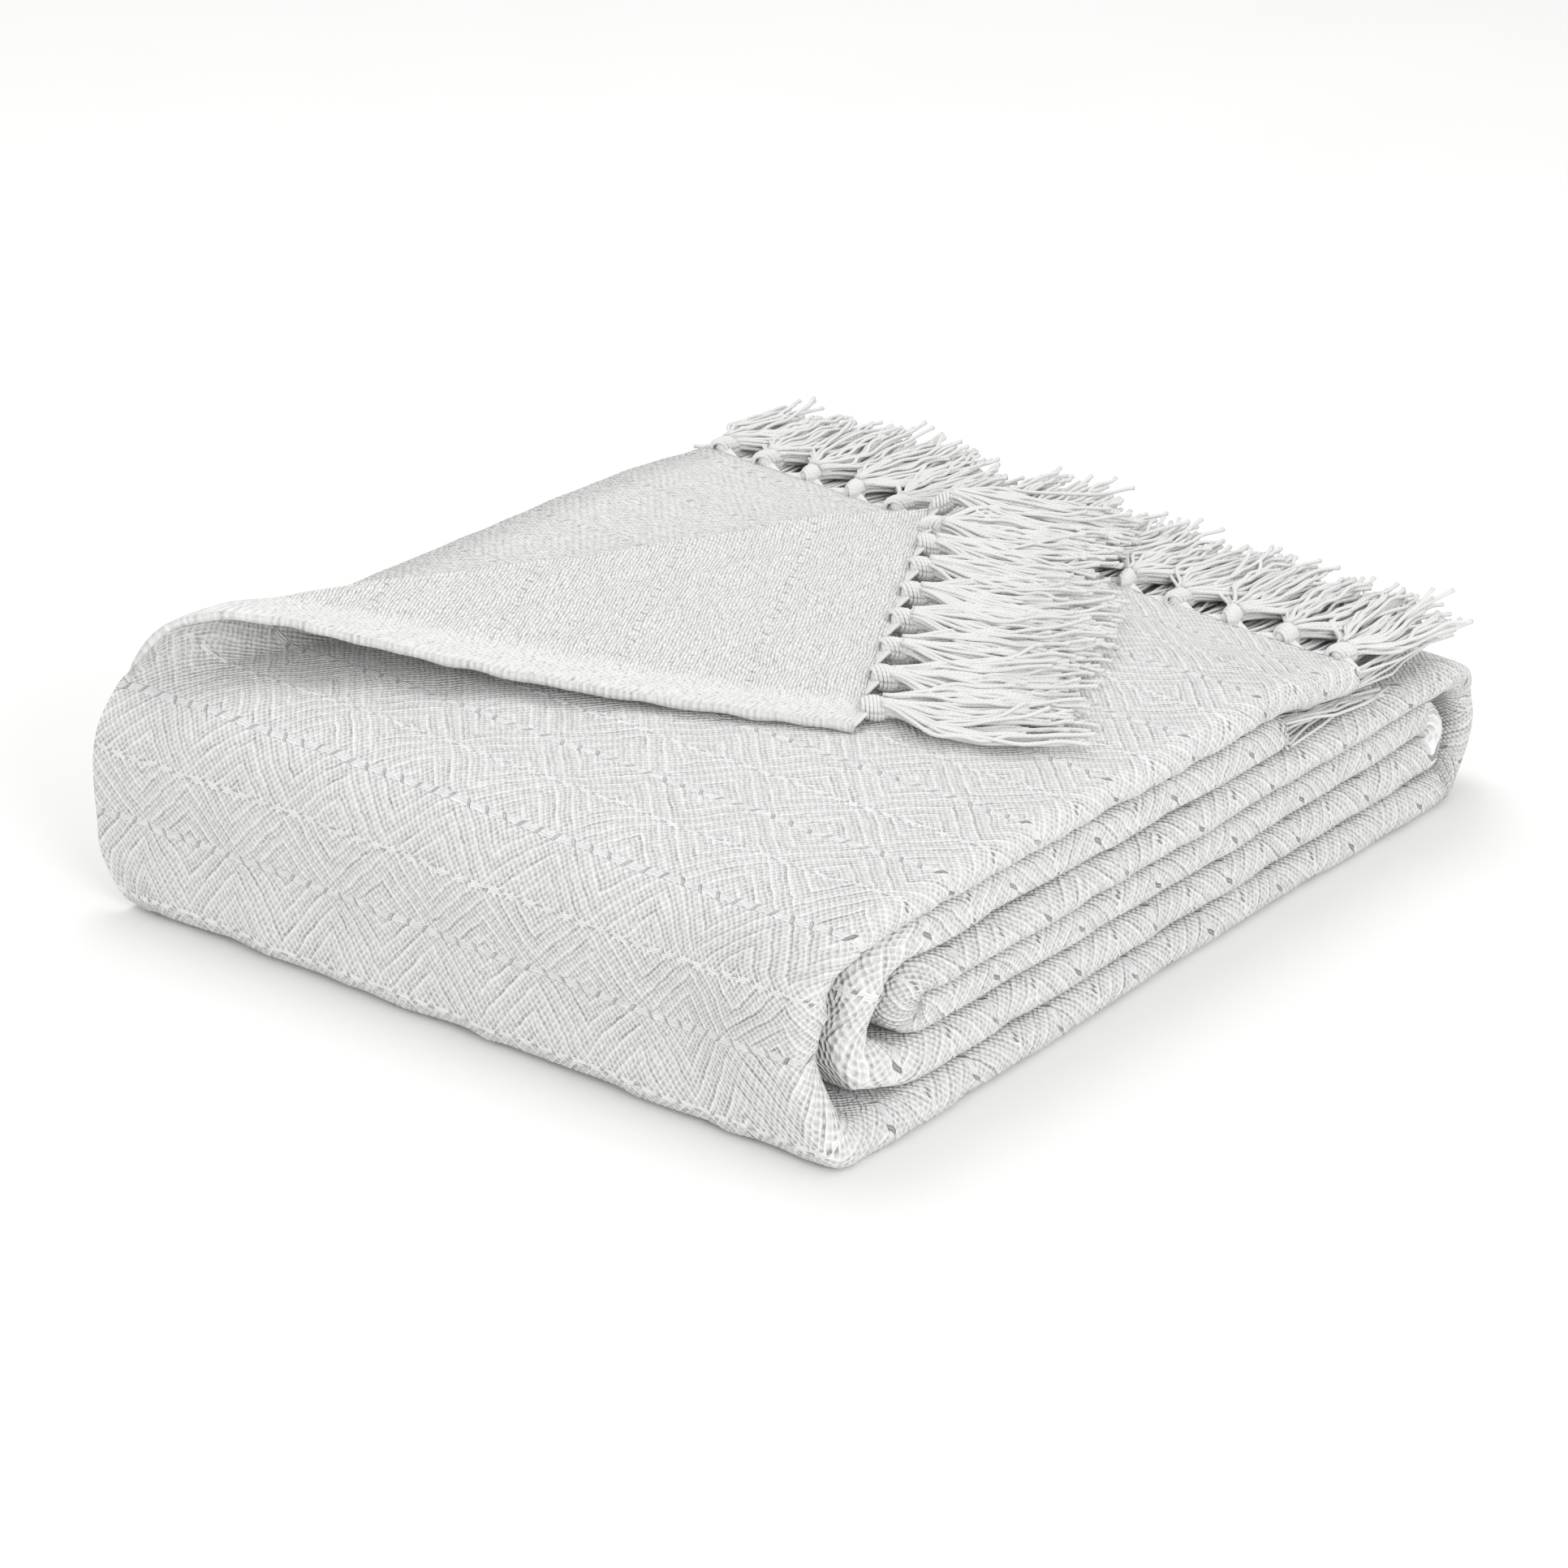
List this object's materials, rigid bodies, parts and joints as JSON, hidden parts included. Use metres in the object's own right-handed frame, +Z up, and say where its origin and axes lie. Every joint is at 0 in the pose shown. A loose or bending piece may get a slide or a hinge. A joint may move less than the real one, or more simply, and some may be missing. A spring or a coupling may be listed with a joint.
{
  "type": "bedspread",
  "caption": "Woven cotton bedspread folded into a thick square pile, one corner turned over, with knotted fringe along its short ends.",
  "frame": {"origin": "centre of the bounding box in plan, on the plane the pile lies on", "axes": "+Z up, +X towards the face of folds with the ridges, +Y towards the fringed end"},
  "size_m": [0.3584, 0.4444, 0.1192],
  "materials": {
    "folded_cloth": "off-white woven cotton",
    "fringe_turned_corner": "off-white plied cotton yarn",
    "fringe_top_ply": "off-white plied cotton yarn",
    "fringe_second_ply": "off-white plied cotton yarn",
    "fringe_third_ply": "off-white plied cotton yarn",
    "fringe_lowest_ply": "off-white plied cotton yarn",
    "inner_fringe_top_ply": "off-white plied cotton yarn",
    "inner_fringe_second_ply": "off-white plied cotton yarn",
    "inner_fringe_third_ply": "off-white plied cotton yarn",
    "inner_fringe_lowest_ply": "off-white plied cotton yarn"
  },
  "bodies": {
    "root": {"folded_cloth": "folded_cloth", "fringe_turned_corner": "fringe_turned_corner", "fringe_top_ply": "fringe_top_ply", "fringe_second_ply": "fringe_second_ply", "fringe_third_ply": "fringe_third_ply", "fringe_lowest_ply": "fringe_lowest_ply", "inner_fringe_top_ply": "inner_fringe_top_ply", "inner_fringe_second_ply": "inner_fringe_second_ply", "inner_fringe_third_ply": "inner_fringe_third_ply", "inner_fringe_lowest_ply": "inner_fringe_lowest_ply"}
  },
  "joints": []
}
